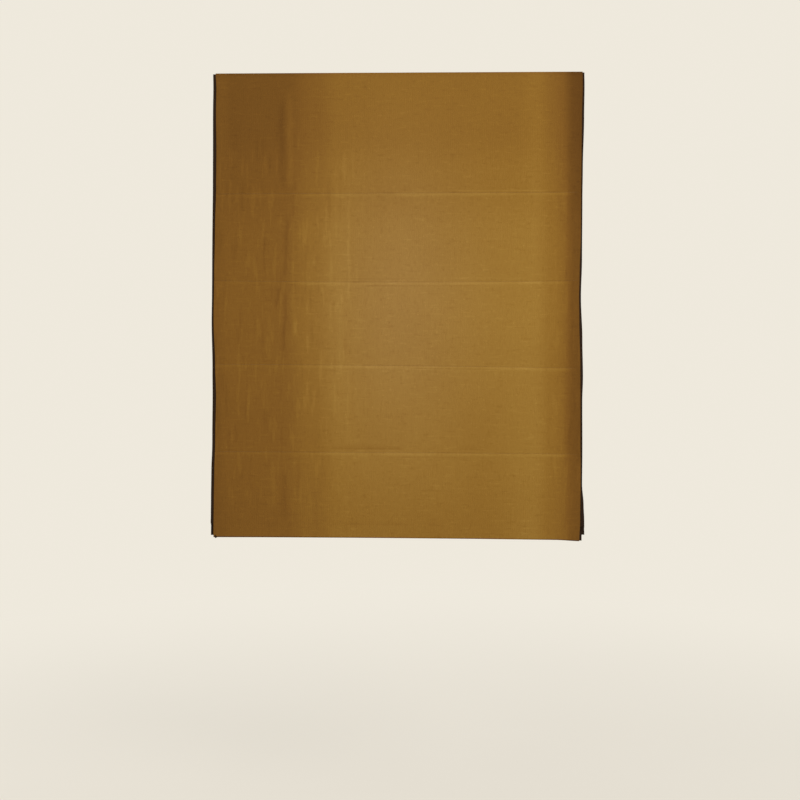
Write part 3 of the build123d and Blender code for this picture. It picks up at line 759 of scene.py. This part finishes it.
def seam_light_and_shade(x, z):
    """Painted light and shade along the seams: a painted highlight band on the roll under each seam that breaks
    up, between thin painted shade lines at the stitched groove, with the lighter and darker lines of seam_lines
    and a painted shade line at the hem's stitch line.
    """
    out = 0.0
    across = x / half_width
    strong = (0.45 + 0.55 * smoothstep(-0.62, -0.45, across)) * (1 - smoothstep(0.90, 0.97, across))
    for i, seam in enumerate(seams):
        below = seam - z
        shown = broken(x, i)
        # Painted highlight where the roll under the seam faces up.
        band = (0.06 + 0.07 * shown) * bell(below, 4.4 * MM, 4.6 * MM)
        # Painted shade in the stitched groove.
        above = (0.02 + 0.07 * broken(x + 0.3, i)) * bell(below, -0.6 * MM, 1.4 * MM)
        out = out + strong * (band - above)
    for i, below, low_x, high_x, lighter in seam_lines:
        shown = smoothstep(low_x, low_x + 20, x / MM) * (1 - smoothstep(high_x - 20, high_x, x / MM))
        shown = shown * (0.6 + 0.4 * broken(x + 0.2 * i, 7))
        out = out + lighter * shown * bell(seams[i] - z, below * MM, 1.5 * MM)
    # Painted shade line along the hem's stitch line.
    hem = 0.07 * broken(1.7 * x, 9) * bell(z, hem_line, 1.6 * MM) * bell(across, -0.1, 0.5)
    return out - hem


# The pile's tone by the share across from -1 to 1, and what is left of it by the share of the drop. The darker
# sides, top and hem are partly the pile's own tone and partly painted shade.
tone_and_shade_across = [
    (-1.02, 0.54), (-0.90, 0.615), (-0.70, 0.64), (-0.62, 0.65), (-0.46, 0.815), (-0.30, 0.965),
    (0.0, 0.99), (0.56, 0.945), (0.74, 0.955), (0.85, 0.815), (0.88, 0.76), (0.96, 0.49), (1.02, 0.42),
]
tone_and_shade_above = [(0.0, 0.77), (0.12, 0.78), (0.24, 0.87), (0.36, 0.97), (0.48, 1.0)]
tone_and_shade_below = [(0.48, 1.0), (0.62, 0.98), (0.80, 0.92), (1.0, 0.84)]


def pile_tone_and_shade(x, z):
    """How light the pile looks: darker at the sides and towards the top and the hem, partly where the pile lies
    away and partly painted shade, with painted light and shade along the creases and seams.
    """
    across = x / half_width
    down = share_down(z)
    tone = flowing(tone_and_shade_across, across)
    weight = (0.45 + 0.55 * smoothstep(-0.97, -0.90, across)) * (1 - 0.3 * bell(across, 0.78, 0.10))
    tone = tone * (1 - (1 - flowing(tone_and_shade_above, down)) * weight)
    weight = 1 - 0.5 * smoothstep(-0.40, -0.60, across) - 0.75 * smoothstep(0.45, 0.75, across)
    tone = tone * (1 - (1 - flowing(tone_and_shade_below, down)) * weight)
    tone = tone + 0.05 * smoothstep(0.88, 0.95, across) * smoothstep(0.78, 0.88, down)
    # Painted shade along the bottom edge, under the hem's fold; the top edge's last two millimetres are darkened a
    # little too.
    turned = 0.42 * (1 - smoothstep(0.8 * MM, 3.6 * MM, z - cloth_bottom))
    turned = turned + 0.1 * smoothstep(-2 * MM, 0.0, z - cloth_top)
    # The creases' tone is a painted highlight on their ridges and painted shade in their grooves.
    return tone + 0.07 * crease_lift(x, z) + seam_light_and_shade(x, z) - turned


def painted_sheen_share(x, z):
    """How much painted sheen the pile gets, a pale haze, most in the middle."""
    down = share_down(z)
    return bell(x / half_width, 0.0, 0.40) * bell(down, 0.48, 0.30)


def slub_share(x, z):
    """How much the pile shows the slubs of its upright threads: most where it lies away."""
    across = x / half_width
    down = share_down(z)
    share = 0.12 + 0.62 * (1 - smoothstep(-0.55, 0.0, across)) + 0.5 * smoothstep(0.78, 0.92, across)
    return share * smoothstep(0.06, 0.2, down) * (1 - 0.5 * smoothstep(0.86, 0.97, down))


def cloth_values(x, z):
    """What the velvet's material reads at each point."""
    return {"tone": pile_tone_and_shade(x, z), "slubs": slub_share(x, z), "pale": painted_sheen_share(x, z)}


# -------- grids of the sheets

# How far below a seam's stitches each of its fine rows is, and how far from an edge its columns
fine_spans = [(-11, -1, 1.2), (-0.8, 1, 0.4), (1.6, 15, 1.2)]
fine_rows = np.concatenate([np.arange(*span) for span in fine_spans]) * MM
edge_columns = MM * np.array([0, 0.12, 0.4, 0.9, 1.8, 3.5])


def sheet_rows(top, bottom, step, fine=True):
    """Heights from top to bottom, closer together about the seams."""
    rows = set(np.round(steps(top, bottom, step), 6))
    for seam in seams if fine else ():
        high, low = seam - fine_rows[0] + 2 * MM, seam - fine_rows[-1] - 2 * MM
        rows = {z for z in rows if not high > z > low}
        rows |= set(np.round(seam - fine_rows, 6))
    rows |= set(np.round(top - edge_columns[1:4], 6))
    return np.array(sorted(rows, reverse=True))


def sheet_columns(step, hem=0.0, fine=False):
    """Shares from -1 to 1 across a sheet, closer together at its sides, its side hems and creases."""
    near = edge_columns
    if hem:
        near = np.concatenate([near, [hem - fold_fade, hem, hem + fold_fade]])
    near = 1 - near / half_width
    columns = set(np.round(steps(-near[-1], near[-1], step / half_width)[1:-1], 6))
    for top_x, low_x, *_, width, _ in creases if fine else ():
        low, high = ((e(top_x, low_x) * MM) / half_width for e in (min, max))
        reach = 1.6 * width * MM / half_width
        low, high = low - reach, high + reach
        columns = {c for c in columns if not low < c < high}
        columns |= set(np.round(steps(low, high, max(2.2, 0.45 * width) * MM / half_width), 6))
    columns = np.array(sorted(columns))
    columns = columns[np.concatenate([[True], np.diff(columns) > 1.5 * MM / half_width])]
    return np.concatenate([-near, columns, near[::-1]])


def from_side(share):
    """How far inside the nearer side edge a share across the cloth is."""
    return (1 - np.abs(share)) * half_width


def edge_round(distance, thickness):
    """Share of the full thickness that is left at a distance from a folded edge."""
    t = np.clip(distance / (thickness / 2), 0, 1)
    return np.maximum(np.sqrt(1 - (1 - t) ** 2), 0.15)


def hem_grid(corners, weights, radius, thickness, columns, left, right):
    """Front and back grids of a hem that follows a path of (y, z) corners.

    weights says, for each corner, how much of the cloth's swing is added there. After the grids
    come their UVs, x and z, and the path's length.
    """
    path, marks = rounded_path(corners, radius, path_step)
    tangent = directions(path)
    normal = np.stack([tangent[:, 1], -tangent[:, 0]], axis=-1)
    weight = np.interp(marks, range(len(corners)), weights)[:, None]
    z, share = np.meshgrid(path[:, 1], columns, indexing="ij")
    x = across_at(z, share, left, right)
    forward = swing(x, z) * weight
    half = thickness / 2 * edge_round(from_side(share), thickness)
    front, back = (
        points_at(x, path[:, :1] + side * normal[:, :1] - forward, warp(x, z + side * normal[:, 1:]))
        for side in (half, -half)
    )
    run = travelled(path)
    uv = np.stack([x, np.broadcast_to(corners[0][1] - run[:, None], x.shape)], axis=-1)
    return front, back, uv, x, z, run[-1]


def front_surface(x, z):
    """y of the front cloth's outer face."""
    return cloth_front - swing(x, z) - seam_relief(x, z) - handling(x, z)


def finish_sheet(sheet, turned, slot, node):
    """Finish a hanging sheet, and its end that is turned back and rides the bar."""
    finish_piece(sheet, "headrail", slot, [node])
    finish_piece(turned, "bottom_bar", slot, [node])
    close_up(sheet)


def make_front_cloth():
    """The front cloth from its top edge to the hem's stitch line."""
    columns = sheet_columns(front_pitch[0], fine=True)
    rows = sheet_rows(cloth_top, hem_line, front_pitch[1])
    z, share = np.meshgrid(rows, columns, indexing="ij")
    x = across_at(z, share, cloth_left, cloth_right)
    rounded = edge_round(from_side(share), velvet_t) * edge_round(cloth_top - z, velvet_t)
    half = velvet_t / 2 * rounded
    back = cloth_middle + half - swing(x, z)
    front = front_surface(x, z) + velvet_t / 2 - half
    front = np.minimum(front, back - thinnest)
    grids = [points_at(x, y, warp(x, z)) for y in (front, back)]
    sheet = shell("front_cloth_sheet", *grids, np.stack([x, z], axis=-1), cloth_values(x, z))

    corners = [
        (cloth_middle, hem_line),
        (cloth_middle, cloth_bottom + velvet_t / 2),
        (leg_middle, cloth_bottom + velvet_t / 2),
        (leg_middle, knee),
        (lap_middle, hem_line),
        (lap_middle, hem_line + hem_lap),
    ]
    weights = (1, 1, 0, 0, 1, 1)
    grids = hem_grid(corners, weights, hem_bend_r, velvet_t, columns, cloth_left, cloth_right)
    front, back, uv, x, z, hem_cut = grids
    hem = shell("front_cloth_hem", front, back, uv, cloth_values(x, z))
    finish_sheet(sheet, hem, "velvet", "front_cloth")


def make_lining():
    """The lining from its top edge to the stitch line, and the tail that hangs behind the hem."""
    columns = sheet_columns(lining_pitch, lining_hem_width)
    top_z, low_z = lining_top, hem_line + velvet_t
    rows = set(sheet_rows(top_z, low_z, lining_pitch, fine=False))
    rows |= set(np.round(steps(low_z, hem_line + 12 * MM, 1 * MM), 6))
    z, share = np.meshgrid(sorted(rows, reverse=True), columns, indexing="ij")
    x = across_at(z, share, lining_left, lining_right)
    lap_low, lap_high = (hem_line + above for above in lining_step)
    step_back = (lining_lap_middle - lining_middle) * (1 - smoothstep(lap_low, lap_high, z))
    inside = from_side(share)
    half = lining_t / 2 * edge_round(inside, lining_t) * edge_round(top_z - z, lining_t)
    ends = lining_hem_width - fold_fade, lining_hem_width + fold_fade
    turned = side_hem_t * (1 - smoothstep(*ends, inside)) * edge_round(inside, lining_t)
    wrinkle = 0.12 * MM * np.sin(60 * x + 5 * np.sin(14 * z)) * np.sin(23 * z + 3 * x)
    middle = lining_middle + step_back - swing(x, z)
    back = middle + half + turned + np.abs(wrinkle)
    grids = [points_at(x, y, warp(x, z)) for y in (middle - half, back)]
    sheet = shell("lining_sheet", *grids, np.stack([x, z], axis=-1))

    corners = [
        (lining_lap_middle, hem_line + velvet_t),
        (lining_leg_middle, knee + velvet_t),
        (lining_leg_middle, lining_bottom),
    ]
    weights = (1, 0, 0)
    grids = hem_grid(corners, weights, lining_bend_r, lining_t, columns, lining_left, lining_right)
    front, back, uv, x, z, tail_cut = grids
    for grid in (front, back):
        grid[..., 2] += flowing(tail_lift, x / half_width) * smoothstep(hem_line, lining_bottom, z)
    tail = shell("lining_tail", front, back, uv)
    finish_sheet(sheet, tail, "lining", "lining")


def make_hem_liners():
    """A strip of the lining turned into each open end of the hem, where it shows as a dark edge."""
    inset = velvet_t / 2 + liner_gap
    front_y, back_y = cloth_middle + inset, leg_middle - inset
    top_z, low_z = knee - liner_drop, cloth_bottom + velvet_t + liner_gap
    corners = [(front_y, top_z), (front_y, low_z), (back_y, low_z), (back_y, top_z)]
    right = [(0.0, liner_reach), (1.0, liner_reach)]
    inner = (bar_high.x + liner_start) / half_width
    for side, sign in (("left", -1), ("right", 1)):
        columns = np.sort(sign * np.linspace(inner, 1.0, 8))
        liner = hem_grid(corners, (1, 1, 0, 0), liner_bend_r, lining_t, columns, cloth_left, right)
        finish_piece(shell(f"hem_liner_{side}", *liner[:3]), "bottom_bar", "lining")


# -------- stitching


def stitch_row(tubes, points, outward):
    """A row of stitches centred on points, each a short thread that rises outward and dips in."""
    shares = np.linspace(-1, 1, 5)
    rise = np.outer(thread_r * (1.1 - 2.2 * shares**2), outward)
    for p, t in zip(points, directions(points)):
        tubes.add(p + np.outer(shares * stitch_length / 2, t) + rise, thread_r)


def make_seam_stitches():
    """Running stitches in the groove of each seam, seen on the front."""
    tubes = Tubes(6)
    for seam in seams:
        x = steps(-half_width + seam_inset, half_width - seam_inset, stitch_pitch)
        z = np.full(x.shape, seam)
        stitch_row(tubes, points_at(x, front_surface(x, z), warp(x, z)), (0, -1, 0))
    x, _, z = np.array(tubes.points).T
    # The stitches take the pile's tone, painted shade included.
    stitches = tubes.build("seam_stitches", {"tone": pile_tone_and_shade(x, z)})
    piece = finish_piece(stitches, "headrail", "velvet", material=thread_ochre)
    close_up(piece)


def make_lining_stitches():
    """Rows of stitches down the lining's side hems, on its back."""
    tubes = Tubes(6)
    z = steps(lining_top - side_stitch_span[1], hem_line + side_stitch_span[0], stitch_pitch)
    for side in (-1, 1):
        share = side * (1 - (lining_hem_width - side_stitch_inset) / half_width)
        x = across_at(z, share, lining_left, lining_right)
        y = lining_middle + lining_t / 2 + side_hem_t - swing(x, z)
        stitch_row(tubes, points_at(x, y, warp(x, z)), (0, 1, 0))
    piece = finish_piece(tubes.build("lining_hem_stitches"), "headrail", "lining", material=thread_dark)
    close_up(piece)


def make_hem_stitches():
    """The blind stitches that close the hem, on its back just under the stitch line."""
    tubes = Tubes(6)
    x = steps(-half_width + hem_inset, half_width - hem_inset, stitch_pitch)
    z = lining_bottom + hem_stitch_rise + flowing(tail_lift, x / half_width)
    stitch_row(tubes, points_at(x, lining_high.y, z), (0, 1, 0))
    finish_piece(tubes.build("hem_stitches"), "bottom_bar", "lining", material=thread_dark)


# The tack's turns, in millimetres: how far inside the cloth's left side each is, how far up the
# hem's front it goes, and how far it hangs loose under the edge
tack_turns = [(4.6, 5.2, 0.5), (5.7, 5.6, 0.8), (6.8, 4.4, 0.6), (7.8, 2.6, 0.2)]
tack_r = 0.6 * MM
tack_bend_r = 1.0 * MM


def make_corner_tack():
    """The heavy thread that is wound round the hem's edge at its lower left corner."""
    tubes = Tubes(8)
    front_y, back_y = cloth_front - 0.7 * tack_r, leg_middle - 1 * MM
    for inset, above, slack in tack_turns:
        low_z = cloth_bottom - tack_r - slack * MM
        corners = [
            (front_y + 1.2 * tack_r, cloth_bottom + (above + 0.6) * MM),
            (front_y, cloth_bottom + (above - 0.4) * MM),
            (front_y, low_z),
            (back_y, low_z),
            (back_y, cloth_bottom + 0.4 * MM),
        ]
        path, _ = rounded_path(corners, tack_bend_r, 1 * MM)
        path = path[np.diff(travelled(path), prepend=-1) > 0.05 * MM]
        x = inset * MM - half_width + 0.2 * MM * np.sin(path[:, 0] / MM)
        y, z = path.T
        y = y - swing(x, z) * (1 - smoothstep(cloth_front, leg_middle, y))
        tubes.add(points_at(x, y, warp(x, z)), tack_r)
    finish_piece(tubes.build("corner_tack"), "bottom_bar", "lining", material=thread_dark)


# -------- batten pockets


def pocket_outline(centre, radius, top, front, back, count=22):
    """Closed outline of a pocket: down its front, round the rod, and up its back to the neck.

    front and back are the y of its neck's two faces, and top is the neck's height.
    """
    down = np.linspace(top, centre[1], 6)[:-1]
    points = [(front, z) for z in down]
    reach = np.array([back, top]) - np.array(centre)
    distance = np.linalg.norm(reach)
    tangent = math.atan2(reach[1], reach[0]) - math.acos(radius / distance)
    for angle in np.linspace(-math.pi, tangent, count):
        points.append((centre[0] + radius * math.cos(angle), centre[1] + radius * math.sin(angle)))
    last = np.array(points[-1])
    neck = np.array([back, top])
    points += [tuple(last + (neck - last) * s) for s in np.linspace(0, 1, 6)[1:]]
    return np.array(points)


def make_pocket(batten):
    """The fabric tube round one rod, sewn shut along its neck and open at its ends."""
    low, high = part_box(f"{batten}_pocket")
    rod_low, rod_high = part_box(f"{batten}_rod")
    centre = ((rod_low.y + rod_high.y) / 2, (rod_low.z + rod_high.z) / 2)
    radius = (high.y - low.y) / 2
    outer = pocket_outline(centre, radius, high.z, low.y, low.y + 2 * pocket_t)
    neck_y, neck_low = low.y + pocket_t, high.z - 2 * MM
    slit = 0.1 * MM  # half the gap that is left inside the neck
    inner = pocket_outline(centre, radius - pocket_t, neck_low, neck_y - slit, neck_y + slit)
    n = len(outer)
    x = steps(low.x, high.x, 8 * MM)
    grids = []
    for loop in (outer, inner):
        hang = np.clip((high.z - loop[:, 1]) / (high.z - low.z), 0, 1)
        ripple = np.sin(70 * x + 3 * np.sin(11 * x))[:, None] * hang * 0.25 * MM
        sag = (0.5 + 0.5 * np.cos(24 * x))[:, None] * hang * -0.3 * MM
        y = loop[:, 0] + ripple * (loop[:, 0] > centre[0])
        grids.append(points_at(x[:, None], y, loop[:, 1] + sag))
    points = np.concatenate([g.reshape(-1, 3) for g in grids])
    uv = np.stack(np.broadcast_arrays(x[:, None], travelled(outer)), axis=-1)
    uvs = np.concatenate([uv.reshape(-1, 2)] * 2)
    shift = len(x) * n
    last = shift - n
    faces = ring_faces(0, shift, n, flip=True) + ring_faces(last, last + shift, n)
    for a in range(0, last, n):
        faces += ring_faces(a, a + n, n) + ring_faces(a + shift, a + shift + n, n, flip=True)
    piece = mesh_object(f"{batten}_pocket_cloth", points, faces, uvs)
    finish_piece(piece, batten, "lining", [f"{batten}_pocket"])

    tubes = Tubes(6)
    x = steps(low.x + 3 * MM, high.x - 3 * MM, stitch_pitch)
    stitch_row(tubes, points_at(x, low.y + 2 * pocket_t, high.z - 0.9 * MM), (0, 1, 0))
    finish_piece(tubes.build(f"{batten}_neck_stitches"), batten, "lining", material=thread_dark)


# -------- tapes, cords and windings


selvedge_rows = np.array([0, 0.3, 0.8, 1.6, 2.0, 2.4]) * MM
band_inset = 3.4 * MM  # of the first even row inside a selvedge
tape_edge_t = 0.6 * MM


def make_tape(node):
    """One band of hook or loop tape, thinner along its selvedges."""
    low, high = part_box(node)
    band = steps(low.z + band_inset, high.z - band_inset, 1.1 * MM)
    z = np.concatenate([low.z + selvedge_rows, band, (high.z - selvedge_rows)[::-1]])
    z, x = np.meshgrid(z[::-1], steps(low.x, high.x, 6 * MM), indexing="ij")
    inside = np.minimum(z - low.z, high.z - z)
    end = np.minimum(x - low.x, high.x - x)
    thick = 0.45 + 0.55 * smoothstep(selvedge_rows[3], selvedge_rows[5], inside)
    thick = thick * edge_round(inside, tape_edge_t) * edge_round(end, tape_edge_t)
    nap = 0.06 * MM * (np.sin(2100 * x + 3 * z / MM) * np.sin(1900 * z))
    half = (high.y - low.y) / 2 * thick - np.abs(nap)
    middle = (high.y + low.y) / 2
    grids = [points_at(x, y, z) for y in (middle - half, middle + half)]
    piece = shell(f"{node}_band", *grids, np.stack([x, z], axis=-1))
    finish_piece(piece, "headrail", "tape", [node])


def braid_radius(rings, sides, radius, turn):
    """Radii of a braided cord's rings: strands that turn and cross leave a diamond relief."""
    angle = 2 * math.pi * np.arange(sides) / sides
    step = np.arange(rings)[:, None] * turn
    relief = np.sin(2 * angle + step) * np.sin(2 * angle - step)
    return radius * (0.95 + 0.05 * relief)


def make_cord(node):
    """One lift cord, straight down from its spool to its anchor."""
    low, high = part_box(node)
    path = points_at((low.x + high.x) / 2, (low.y + high.y) / 2, steps(high.z, low.z, 1.0 * MM))
    tubes = Tubes(8)
    tubes.add(path, braid_radius(len(path), tubes.sides, (high.x - low.x) / 2, 0.9))
    piece = finish_piece(tubes.build(f"{node}_braid"), "headrail", "cord", [node])
    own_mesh(piece)


def make_windings():
    """The turns of cord that stay on each spool, beside the cord that hangs from it."""
    axis_y, axis_z = joints["lift_shaft_turn"]["pos_m"][1:]
    wound_low, wound_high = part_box("cord_windings")
    t = np.linspace(0, 1, 97)
    tubes = Tubes(10)
    for node in cords:
        low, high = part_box(node)
        cord_d = high.x - low.x
        radius = axis_y - (low.y + high.y) / 2
        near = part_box(cords[-1])[0].x - wound_high.x + cord_d
        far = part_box(cords[0])[0].x - wound_low.x
        angle = math.pi - t * (far - near) / cord_d * 2 * math.pi
        x = (low.x + high.x) / 2 - near - t * (far - near)
        route = points_at(x, axis_y + radius * np.cos(angle), axis_z + radius * np.sin(angle))
        tubes.add(route, cord_d / 2)
    finish_piece(tubes.build("cord_windings_helix"), "lift_shaft", "cord", ["cord_windings"])


# -------- build

make_front_cloth()
make_lining()
make_hem_liners()
make_seam_stitches()
make_lining_stitches()
make_hem_stitches()
make_corner_tack()
for batten in battens:
    make_pocket(batten)
for tape in ("hook_tape", "loop_tape"):
    make_tape(tape)
for cord in cords:
    make_cord(cord)
make_windings()

# -------- stage, lights and camera

backdrop = (0.86, 0.815, 0.72)
floor_z = cloth_bottom - 0.9
floor_rings = (1.5, 3.0, 5.0, 8.0, 14.0, 40.0)
camera_place = (0.1395, -3.1895, -0.692)
camera_yaw = math.radians(2.39)
camera_roll = math.radians(0.17)


def make_floor():
    """A pale floor that fades, away from the blind, into the even light of the studio."""
    sides = 64
    turns = np.arange(sides) * 2 * math.pi / sides
    points = [(0, 0, floor_z)]
    for r in floor_rings:
        points += [(r * math.cos(a), r * math.sin(a), floor_z) for a in turns]
    faces = [(0, 1 + i, 1 + (i + 1) % sides) for i in range(sides)]
    for a in range(1, (len(floor_rings) - 1) * sides, sides):
        faces += ring_faces(a, a + sides, sides, flip=True)
    floor = mesh_object("studio_floor", points, faces)
    m = Material("studio_floor", "Object", 0.9)
    mottle = m.noise((1.5, 1.5, 1.5))
    m.colour(m.ramp(mottle, (0.3, (0.79, 0.75, 0.665)), (0.7, (0.81, 0.77, 0.685))))
    glow = m.add("Emission", [("Color", (*backdrop, 1)), ("Strength", 1.0)])
    place = m.place((0.25, 0.25, 0.25))
    away = m.add("VectorMath", [(0, place)], operation="LENGTH").outputs["Value"]
    inputs = [(0, m.marks(away, 0.15, 1.0)), (1, m.shader.outputs[0]), (2, glow.outputs[0])]
    blend = m.add("MixShader", inputs)
    m.tree.links.new(blend.outputs[0], m.tree.nodes["Material Output"].inputs["Surface"])
    floor.data.materials.append(m.data)


def make_light(name, place, aim, size, power, colour):
    """A square soft light that faces aim."""
    data = bpy.data.lights.new(name, "AREA")
    data.shape = "SQUARE"
    data.size = size
    data.energy = power
    data.color = colour
    light = add_object(name, data)
    light.location = place
    light.rotation_euler = (Vector(aim) - Vector(place)).to_track_quat("-Z", "Y").to_euler()


def make_world():
    """Even pale light all round, dimmer on the blind than it looks."""
    world = bpy.data.worlds.new("studio")
    world.use_nodes = True
    tree = world.node_tree
    seen = tree.nodes["Background"]
    fill = tree.nodes.new("ShaderNodeBackground")
    for node, colour, strength in ((seen, backdrop, 1.0), (fill, (1.0, 0.98, 0.95), 0.42)):
        node.inputs["Color"].default_value = (*colour, 1)
        node.inputs["Strength"].default_value = strength
    path = tree.nodes.new("ShaderNodeLightPath")
    blend = tree.nodes.new("ShaderNodeMixShader")
    tree.links.new(path.outputs["Is Camera Ray"], blend.inputs[0])
    tree.links.new(fill.outputs[0], blend.inputs[1])
    tree.links.new(seen.outputs[0], blend.inputs[2])
    tree.links.new(blend.outputs[0], tree.nodes["World Output"].inputs["Surface"])
    bpy.context.scene.world = world


def make_camera():
    """A camera a little to the right of the blind's middle, turned slightly left."""
    data = bpy.data.cameras.new("camera")
    data.sensor_fit = "HORIZONTAL"
    data.angle = math.radians(38.3)
    data.shift_y = -0.08
    data.clip_end = 200
    camera = add_object("camera", data)
    facing = Matrix.Rotation(camera_yaw, 4, "Z") @ Matrix.Rotation(math.radians(90), 4, "X")
    rolled = facing @ Matrix.Rotation(camera_roll, 4, "Z")
    camera.matrix_world = Matrix.Translation(camera_place) @ rolled
    bpy.context.scene.camera = camera


make_floor()
middle = (0, 0, (cloth_top + cloth_bottom) / 2)
make_light("key", (2.6, -3.6, 1.6), middle, 2.4, 150, (1.0, 0.97, 0.93))
make_light("fill", (-3.4, -2.6, 0.2), middle, 2.6, 45, (1.0, 0.985, 0.96))
make_light("back", (-1.6, 3.4, 1.4), middle, 2.2, 70, (1.0, 0.985, 0.96))
make_world()
make_camera()
bpy.context.scene.view_settings.view_transform = "Standard"
